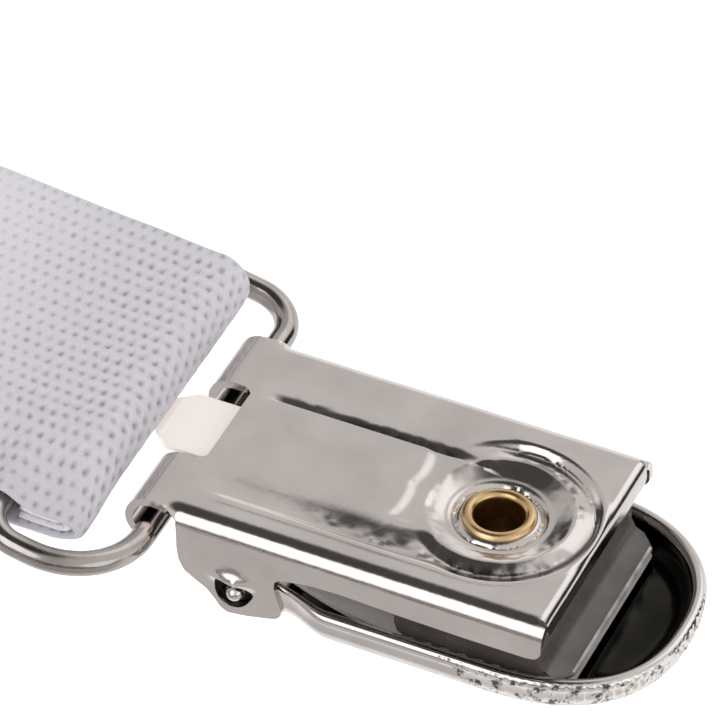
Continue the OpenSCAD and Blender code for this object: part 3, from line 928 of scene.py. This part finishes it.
def arcp(c_, r, a0, a1, n):
    return [(c_[0] + r * math.cos(math.radians(a0 + (a1 - a0) * i / n)), c_[1] + r * math.sin(math.radians(a0 + (a1 - a0) * i / n))) for i in range(n + 1)]


def ramp_path(x0, z0, x1, z1, n=24):
    return [(x0 + (x1 - x0) * i / n, z0 + (z1 - z0) * float(sm(i / n))) for i in range(n + 1)]


SB = RBAR["left"] - np.array([OX, 0, 0])           # front strap-side bar, x and z
fold_x, FR, FZ = -3.6, 1.8, 7.35
zr = FZ + FR + 1.4
PATCH_Z = 1.9


def resample(P, steps):
    """P: list of (x, z). steps: function from arc length to spacing."""
    P = np.array(P, float)
    keep = np.concatenate([[True], np.linalg.norm(np.diff(P, axis=0), axis=1) > 1e-6])
    P = P[keep]
    s = np.concatenate([[0], np.cumsum(np.linalg.norm(np.diff(P, axis=0), axis=1))])
    q = [0.0]
    while q[-1] < s[-1]:
        q.append(q[-1] + steps(q[-1]))
    q = np.array(q) * s[-1] / q[-1]
    return np.stack([np.interp(q, s, P[:, 0]), np.interp(q, s, P[:, 1])], 1), q, s[-1]


def knit_depth(u, v, k0=1.0):
    """0..1 pore strength at u, v in millimetres along and across."""
    row = np.floor(v)
    uu = u / 0.8 + 0.5 * np.mod(row, 2)
    du = (uu - np.floor(uu) - 0.5) * 0.8
    dv = v - row - 0.5
    k = np.floor(uu) * 12.9898 + row * 78.233
    rnd = np.abs(np.sin(k) * 43758.5453) % 1.0
    du = du + (rnd - 0.5) * 0.16 + 0.25 * k0 * dv
    dv = dv + (np.abs(np.sin(k * 1.7)) - 0.5) * 0.16
    return np.exp(-(du / (0.15 + 0.05 * k0)) ** 2 - (dv / (0.22 + 0.10 * k0)) ** 2) * (0.45 + 0.55 * rnd)


def ribbon(name, P, steps, y0, mat, knit=None, width=W, th=T, across=64, xform=None, u0=0.0, outer=1):
    """A strip of webbing along P with rounded selvages. knit(s) gives the pores' depth in mm on its outer side."""
    Q, s, L = resample(P, steps)
    d = np.gradient(Q, axis=0)
    d /= np.linalg.norm(d, axis=1)[:, None]
    N = np.stack([-d[:, 1], d[:, 0]], 1) * outer
    hw = width / 2
    v = np.linspace(-hw + 0.35, hw - 0.35, across)
    k = 5
    cap = [math.radians(90 - 180 * (i + 1) / (k + 1)) for i in range(k)]
    back = np.linspace(hw - 0.35, -hw + 0.35, max(10, across // 8))
    cross = [(a, 1.0) for a in v] + [(hw - 0.35 + 0.35 * math.cos(c_), math.sin(c_)) for c_ in cap] + [(a, -1.0) for a in back] + \
            [(-hw + 0.35 - 0.35 * math.cos(c_), -math.sin(c_)) for c_ in cap]
    cy = np.array([c_[0] for c_ in cross])
    cz = np.array([c_[1] for c_ in cross])
    m = len(cross)
    sel = 1 - 0.25 * np.exp(-((hw - np.abs(cy)) / 0.9) ** 2)
    V = np.zeros((len(Q), m, 3))
    for i in range(len(Q)):
        off = cz * th / 2 * sel
        if knit is not None:
            dep = knit(s[i])
            if dep > 0:
                kd = knit_depth(np.full(m, s[i] + u0), cy + hw, min(1.0, max(0.0, (dep - 0.12) / 0.2)))
                edge = sm((hw - np.abs(cy) - 1.0) / 0.8)
                body = np.clip(cz, 0, 1) * edge
                off = off - body * kd * dep
        V[i, :, 0] = Q[i, 0] + N[i, 0] * off
        V[i, :, 2] = Q[i, 1] + N[i, 1] * off
        V[i, :, 1] = cy
    V = V.reshape(-1, 3)
    if xform is not None:
        V = xform(V)
    V = V + np.array([OX, y0, 0])
    F = grid_faces(len(Q), m, False, True)
    F.append(tuple(range(m)))
    F.append(tuple(range(len(Q) * m - 1, (len(Q) - 1) * m - 1, -1)))
    o = make(name, V * MM, F, mat)
    uvl = o.data.uv_layers.new(name="UVMap")
    idx = np.zeros(len(o.data.loops), int)
    o.data.loops.foreach_get("vertex_index", idx)
    uu = (idx // m)
    vv = (idx % m)
    # millimetres along and across
    uvs = np.stack([s[uu] + u0, cy[vv] + hw], 1)
    uvl.data.foreach_set("uv", uvs.astype(np.float32).ravel())
    outward(o)
    return o, L


def fold_knit(s):
    # shallow on the flat, deep where the webbing is stretched round the fold
    f = 19.5
    if s > 34:
        return 0.0
    return 0.06 + 0.36 * float(sm((s - 9) / 10)) * float(sm((31 - s) / 6))


def squeeze(V):
    """Presses the layers of the fold together towards the selvage at negative Y, less so over the ring's bar, and lifts
    the upper layers towards the other selvage.
    """
    X, Y, Z = V[:, 0], V[:, 1], V[:, 2]
    zb = 5.5 + 2.5 * sm((-9.25 - X) / 24.75)
    far = 0.0 + 1.0 * (Y < 0)
    k = far * sm((np.abs(Y) - 6.0) / 6.7) * (0.62 - 0.29 * np.exp(-((X + 7.5) / 1.4) ** 2)) * sm((X + 24) / 9)
    Z2 = np.where(Z > zb, zb + (Z - zb) * (1 - k), Z)
    lift = 0.42 * np.clip(Y / 12.5, 0, 1) ** 1.5 * sm((-3.5 - X) / 5.5) * (1 - sm((-24 - X) / 20.0))
    Z2 = Z2 + lift * sm((Z - zb) / 1.5)
    return np.stack([X, Y, Z2], 1)


for side in ("left", "right"):
    y0 = LANE[side]
    path = ramp_path(-24, zr, fold_x - 2.4, FZ + FR, 16) + arcp((fold_x - 0.35, FZ - 0.05), FR + 0.05, 90, -90, 24) + ramp_path(fold_x - 5, FZ - FR - 0.1, -34, Z1, 16) + [(-60, Z1)] + \
        arcp((TL, (Z1 + Z2) / 2), (Z1 - Z2) / 2, 90, 270, 20) + arcp((TR, (Z2 + Z3) / 2), (Z2 - Z3) / 2, 90, -90, 20) + [(TR - 10, Z3)]
    hi = side == "left"

    def steps(q, hi=hi):
        if q < 33:
            return 0.17 if hi else 0.3
        for c_ in (19 + 4 + 290, 19 + 4 + 290 + 190):
            pass
        return 1.4
    o, L1 = ribbon("webbing_" + side, path, steps, y0, WEB, knit=fold_knit, across=150 if hi else 80, xform=squeeze)
    # tucked layer inside the fold, in front of the ring's bar
    cx, cz_ = fold_x - 0.35, FZ - 0.05
    core = [(-6.3, cz_ + 1.02)] + arcp((cx, cz_), 1.02, 90, -90, 16) + [(-6.3, cz_ - 1.02)]
    oc, LC = ribbon("webbing_tuck_" + side, core, lambda q: 0.3, y0, WEB, width=W - 0.6, th=0.8, across=40, xform=squeeze)
    oc2, LC2 = ribbon("webbing_core_" + side, [(-6.3, cz_), (cx + 0.35, cz_)], lambda q: 0.3, y0, WEB, width=W - 1.0, th=1.1, across=40, xform=squeeze)
    for q_ in (oc, oc2):
        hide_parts("strap_" + side)
        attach(q_, "webbing")
    sgn = 1 if side == "left" else -1
    ang = math.radians(13.3) * sgn

    def turn(V, ang=ang):
        c_, s__ = math.cos(ang), math.sin(ang)
        X = V[:, 0] * c_ - V[:, 1] * s__
        Y = V[:, 0] * s__ + V[:, 1] * c_
        return np.stack([X + TR - 8, Y, V[:, 2]], 1)
    p2 = [(0, Z3)] + ramp_path(-50, Z3, -82, PATCH_Z + T / 2, 16) + [(-251 - TR + 8, PATCH_Z + T / 2)]
    o2, L2 = ribbon("webbing_low_" + side, p2, lambda q: 2.0, y0, WEB, across=40, xform=turn, u0=L1)
    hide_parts("strap_" + side)
    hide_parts("strap_" + side)
    for q_ in (o, o2):
        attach(q_, "webbing")
    # return layer, with a mesh of its own; nothing here shortens it as the slider moves
    rp = ramp_path(-24, zr, -60, 9.6, 20) + [(-SA + 4, 9.6)]
    o3, L3 = ribbon("webbing_return_" + side, rp, lambda q: 0.8, y0, WEB, knit=lambda s: 0.08, across=80 if hi else 50, outer=-1, u0=120.0)
    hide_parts("return_" + side)
    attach(o3, "webbing")
    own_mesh(o3)
    zb = 11.2
    r = LR - 0.25
    ep = [(-SA + 18, 10.9), (-SA + 13, 10.95)] + ramp_path(-SA + 11, 11.1, -SA + 4, zb + r, 10) + arcp((-SA, zb), r, 90, 270, 20) + [(-SA + 2, zb - r - 0.05 + 0.05), (-SA + 3.9, 9.75)]
    o4, L4 = ribbon("webbing_loop_" + side, ep, lambda q: 0.4, y0, WEB, across=50, u0=120.0 + L3)
    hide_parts("return_end_" + side)
    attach(o4, "adjuster_" + side)

bz = RBAR["back"][2]
bx = RBAR["back"][0] - OX
bp = [(-254, PATCH_Z + T / 2)] + arcp((TL + 3, (PATCH_Z + T / 2 + Z3) / 2), (PATCH_Z + T / 2 - Z3) / 2, 90, 270, 20) + [(-60, Z3)] + \
    arcp((bx + 3.2, bz), LR, -90, 90, 24) + [(-14, bz + LR)] + ramp_path(-20, bz + LR, -30, Z3 + T + 0.05, 16) + [(-44, Z3 + T + 0.05)]
ob, LB = ribbon("webbing_back", bp, lambda q: 1.0 if q > 230 else 2.5, LANE["back"], WEB, knit=lambda s: 0.08, across=70, u0=120.0)
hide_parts("strap_back")
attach(ob, "webbing")

# ------------------------------------------------------------ sliders: bent wire with a centre bar
def solid_tube(P, rad, n=16):
    V, F = tube(P, rad, n, closed=False)
    F.append(tuple(range(n)))
    F.append(tuple(range(len(V) - 1, len(V) - 1 - n, -1)))
    return V, F


for side in ("left", "right"):
    hw = W / 2 + 0.9 + 0.6
    P = []
    for x, y in rounded_loop(-7.0, 7.0, hw, 1.3, 1.3, n=8):
        q = min(1.0, abs(x) / 7.0)
        P.append((x, y, 6.5 + 4.7 * (0.5 + 0.5 * math.cos(math.pi * q))))
    bar = [(0.0, -hw + hw * i / 10.0, 11.2) for i in range(21)]
    V, F = join([tube(np.array(P), 0.6, 16), solid_tube(np.array(bar), 0.6, 16)])
    o = make("wire_slider_" + side, (V + np.array([OX - SA, LANE[side], 0])) * MM, F, WIRE)
    outward(o)
    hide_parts("slider_" + side)
    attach(o, "adjuster_" + side)


# ------------------------------------------------------------ back patch: two leathers and their seam
def offset_ring(P, d):
    t = np.roll(P, -1, 0) - np.roll(P, 1, 0)
    t /= np.linalg.norm(t, axis=1)[:, None]
    return P + d * np.stack([-t[:, 1], t[:, 0]], 1)


PX, PL, PW = -238.0, 52.0, 29.0
PATCH = [(PX, -PW), (PX, PW), (PX - 14, PW), (PX - PL + 8, 15.5), (PX - PL, 12), (PX - PL, -12), (PX - PL + 8, -15.5), (PX - 14, -PW)]
PATCH = densify(PATCH, 1.6)
for _ in range(2):
    PATCH = chaikin(PATCH, 1)[::2] * 0.5 + chaikin(PATCH, 1)[1::2] * 0.5
PATCH = densify(PATCH, 0.7)


def leather_sheet(z0, z1, top, seed):
    """Rounded, slightly uneven leather with a groove pressed by the seam on its outer side (top or underside)."""
    ds = [0.0, 0.03, 0.08, 0.16, 0.27, 0.4, 0.6, 0.85, 1.1, 1.3, 1.45, 1.6, 1.75, 1.9, 2.15, 2.6, 3.4]
    c = PATCH.mean(0)
    rings = [(offset_ring(PATCH, d), d) for d in ds]
    last = rings[-1][0]
    for f in np.linspace(1, 0, 22)[1:-1]:
        rings.append((c + (last - c) * f, 3.4 + (1 - f) * 20))
    zm, h = (z0 + z1) / 2, (z1 - z0) / 2
    r = min(0.42, h)
    V = []
    m = len(PATCH)

    def face(sgn):
        out = []
        for ring, d in rings[1:]:
            e = min(1.0, d / r)
            z = (h - r) + r * math.sqrt(max(0.0, 1 - (1 - e) ** 2))
            w = 0.05 * np.sin(ring[:, 0] * 0.33 + seed) * np.sin(ring[:, 1] * 0.27 + 1.3 * seed) + 0.02 * np.sin(ring[:, 0] * 1.9 + ring[:, 1] * 1.1)
            zz = np.full(m, z) - 0.03 + w * min(1.0, d / 3)
            if (sgn > 0) == top:
                zz = zz - 0.17 * math.exp(-((d - 1.6) / 0.3) ** 2) + 0.03 * math.exp(-((d - 0.9) / 0.4) ** 2)
            zz = np.minimum(zz, h)
            out.append(np.column_stack([ring, zm + sgn * zz]))
        return out
    low = face(-1)[::-1]
    up = face(1)
    mid = [np.column_stack([rings[0][0], np.full(m, zm - (h - r))]), np.column_stack([rings[0][0], np.full(m, zm + (h - r))])]
    R_ = low + mid + up
    V = np.concatenate(R_)
    F = grid_faces(len(R_), m, False, True)
    nb, nt_ = len(V), len(V) + 1
    V = np.concatenate([V, [[c[0], c[1], low[0][:, 2].mean()], [c[0], c[1], up[-1][:, 2].mean()]]])
    F += [(nb, (j + 1) % m, j) for j in range(m)]
    k = (len(R_) - 1) * m
    F += [(nt_, k + j, k + (j + 1) % m) for j in range(m)]
    return V, F


def seam(z, sgn, inset, pitch, rad):
    """Separate stitches along the outline, each dipping into the leather at its ends."""
    ring = offset_ring(PATCH, inset)
    ring = np.concatenate([ring, ring[:1]])
    s_ = np.concatenate([[0], np.cumsum(np.linalg.norm(np.diff(ring, axis=0), axis=1))])
    n = int(s_[-1] / pitch)
    parts = []
    for k in range(n):
        a = (k + 0.5) * s_[-1] / n
        P = []
        for i in range(9):
            q = a + (i / 8 - 0.5) * pitch * 0.86
            x, y = np.interp(q, s_, ring[:, 0]), np.interp(q, s_, ring[:, 1])
            P.append((x, y, z + sgn * (0.11 * math.sin(math.pi * i / 8) - 0.13)))
        parts.append(solid_tube(np.array(P), rad, 8))
    return join(parts)


def finish_soft(name, V, F, y0, mat, node_name, slot, body="webbing", **kw):
    o = make(name, (V + np.array([OX, y0, 0])) * MM, F, mat, **kw)
    outward(o)
    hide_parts(node_name)
    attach(o, body)
    return o


yb = LANE["back"]
V, F = leather_sheet(Z3 + T / 2 + 0.15, PATCH_Z, False, 1.0)
po = finish_soft("patch_leather_outer", V, F, yb, LEATHER, "patch_outer", "leather")
V, F = leather_sheet(PATCH_Z + T, PATCH_Z + T + 1.2, True, 2.2)
pb = finish_soft("patch_leather_backing", V, F, yb, LEATHER, "patch_backing", "leather")
V, F = join([seam(PATCH_Z + T + 1.2, 1, 1.6, 2.9, 0.21), seam(Z3 + T / 2 + 0.15, -1, 1.6, 2.9, 0.21)])
ps = finish_soft("patch_seam", V, F, yb, TAN, "patch_stitching", "thread")


# ------------------------------------------------------------ bartacks: rows of zigzag stitching
def tack(x, z):
    parts = []
    for i in range(3):
        y = np.arange(-10.9, 10.95, 0.13)
        P = np.column_stack([x + 2.2 * i + 0.62 * np.sin(y * 2 * math.pi / 1.25 + i), y, z + 0.03 + 0.06 * np.cos(y * 4 * math.pi / 1.25 + 2 * i)])
        parts.append(solid_tube(P, 0.16, 7))
    return join(parts)


for side in SIDES:
    V, F = tack(-42.0, Z3 + 1.5 * T + 0.05) if side == "back" else tack(-SA + 13.2, 11.35)
    finish_soft("stitch_rows_" + side, V, F, LANE[side], THREAD, "bartack_" + side, "thread", body="webbing" if side == "back" else "adjuster_" + side)

# ------------------------------------------------------------ stage, light, camera
me = bpy.data.meshes.new("floor")
me.from_pydata([(-4, -4, 0), (4, -4, 0), (4, 4, 0), (-4, 4, 0)], [], [(0, 1, 2, 3)])
floor = bpy.data.objects.new("floor", me)
bpy.context.scene.collection.objects.link(floor)
floor.location = (0, 0, -0.055)
fm, nt, b = material("floor_white", (0.93, 0.93, 0.93), 0.0, 0.9)
b.inputs["Emission Color"].default_value = (1, 1, 1, 1)
b.inputs["Emission Strength"].default_value = 0.6
me.materials.append(fm)
floor.visible_glossy = False

world = bpy.data.worlds.new("studio")
bpy.context.scene.world = world
world.use_nodes = True
nt = world.node_tree
bg = nt.nodes["Background"]
D = node(nt, "ShaderNodeTexCoord").outputs["Generated"]
sep = node(nt, "ShaderNodeSeparateXYZ")
nt.links.new(D, sep.inputs[0])
DX, DY, DZ = sep.outputs


def step(v, lo, hi):
    m = node(nt, "ShaderNodeMapRange", interpolation_type="SMOOTHSTEP")
    m.inputs["From Min"].default_value = lo
    m.inputs["From Max"].default_value = hi
    nt.links.new(v, m.inputs["Value"])
    return m.outputs["Result"]


def cap(d, inner, outer):
    """1 within inner degrees of direction d, 0 beyond outer degrees."""
    d = Vector(d).normalized()
    n = node(nt, "ShaderNodeVectorMath", operation="DOT_PRODUCT")
    nt.links.new(D, n.inputs[0])
    n.inputs[1].default_value = d
    return step(n.outputs["Value"], math.cos(math.radians(outer)), math.cos(math.radians(inner)))


def over(val, mask, new):
    """val with new laid over it where mask is 1."""
    if isinstance(new, (int, float)):
        d = maths(nt, "SUBTRACT", new, val)
    else:
        d = maths(nt, "SUBTRACT", new, val)
    return maths(nt, "ADD", val, maths(nt, "MULTIPLY", mask, d))


L = maths(nt, "ADD", 0.72, maths(nt, "MULTIPLY", DX, 0.12))
behind = step(DY, -0.25, 0.15)                       # the side away from the camera
L = over(L, maths(nt, "MULTIPLY", behind, maths(nt, "SUBTRACT", 1.0, step(DZ, 0.16, 0.42))), 1.0)
near = maths(nt, "SUBTRACT", 1.0, behind)
L = over(L, maths(nt, "MULTIPLY", near, maths(nt, "SUBTRACT", 1.0, step(DZ, -0.2, -0.05))), 0.62)
L = over(L, maths(nt, "MULTIPLY", near, maths(nt, "MULTIPLY", step(DZ, -0.22, -0.08), maths(nt, "SUBTRACT", 1.0, step(DZ, 0.06, 0.2)))), 0.10)
L = over(L, cap((-0.25, -0.05, 0.97), 20, 37), 0.07)
L = over(L, cap((-0.25, -0.76, 0.60), 21, 27), 1.7)
L = over(L, cap((0.72, 0.66, 0.14), 11, 18), 0.03)
L = over(L, cap((-0.8, 0.56, 0.16), 15, 24), 0.05)
L = over(L, cap((0, 0.1, -1), 24, 40), 1.0)
L = over(L, cap((0.9, -0.35, 0.25), 14, 22), 1.3)
L = over(L, cap((0.26, 0.69, 0.66), 12, 23), 1.25)
comb = node(nt, "ShaderNodeCombineColor")
for i_, k_ in enumerate((1.0, 0.985, 0.975)):
    nt.links.new(maths(nt, "MULTIPLY", L, k_), comb.inputs[i_])
white = step(L, 0.9, 0.99)
mixw = node(nt, "ShaderNodeMixRGB", blend_type="MIX")
nt.links.new(white, mixw.inputs["Fac"])
nt.links.new(comb.outputs[0], mixw.inputs["Color1"])
comb2 = node(nt, "ShaderNodeCombineColor")
for i_ in range(3):
    nt.links.new(maths(nt, "MULTIPLY", L, 1.02), comb2.inputs[i_])
nt.links.new(comb2.outputs[0], mixw.inputs["Color2"])
nt.links.new(mixw.outputs["Color"], bg.inputs["Color"])
bg.inputs["Strength"].default_value = 1.0


def area(name, loc, target, size, power, sy=None):
    L = bpy.data.lights.new(name, "AREA")
    L.energy = power
    L.size = size
    if sy:
        L.shape = "RECTANGLE"
        L.size_y = sy
    o = bpy.data.objects.new(name, L)
    bpy.context.scene.collection.objects.link(o)
    o.location = loc
    o.rotation_euler = (Vector(target) - Vector(loc)).to_track_quat("-Z", "Y").to_euler()
    return o


C0M = Vector(((12 + OX) * MM, LANE["left"] * MM, ZC * MM))
for nm_, off_, size_, pw_ in (("key", (-0.2, -0.75, 0.75), 0.5, 1.35), ("top", (-0.25, 0.3, 1.0), 0.6, 0.5)):
    q_ = area(nm_, C0M + Vector(off_), C0M, size_, pw_)
    q_.visible_glossy = False

a, e, roll = math.radians(23.2214), math.radians(41.4544), math.radians(1.5074)
back = Vector((math.sin(a) * math.cos(e), -math.cos(a) * math.cos(e), math.sin(e)))
right = Vector((math.cos(a), math.sin(a), 0))
up = back.cross(right)
r2 = right * math.cos(roll) + up * math.sin(roll)
u2 = -right * math.sin(roll) + up * math.cos(roll)
K = 1.03 * U
target = Vector(((6.758 * K + OX) * MM, ((9.193 - 0.85) * K + LANE["left"]) * MM, ZC * MM))
D = 400 * K * MM
cam_data = bpy.data.cameras.new("camera")
cam_data.lens = 6858.99 / 720 * 36
cam_data.sensor_width = 36
cam_data.clip_start = 0.01
cam_data.clip_end = 50
cam = bpy.data.objects.new("camera", cam_data)
bpy.context.scene.collection.objects.link(cam)
loc = target + back * D
cam.matrix_world = Matrix(((r2.x, u2.x, back.x, loc.x), (r2.y, u2.y, back.y, loc.y), (r2.z, u2.z, back.z, loc.z), (0, 0, 0, 1)))
bpy.context.scene.camera = cam
bpy.context.scene.view_settings.view_transform = "Standard"
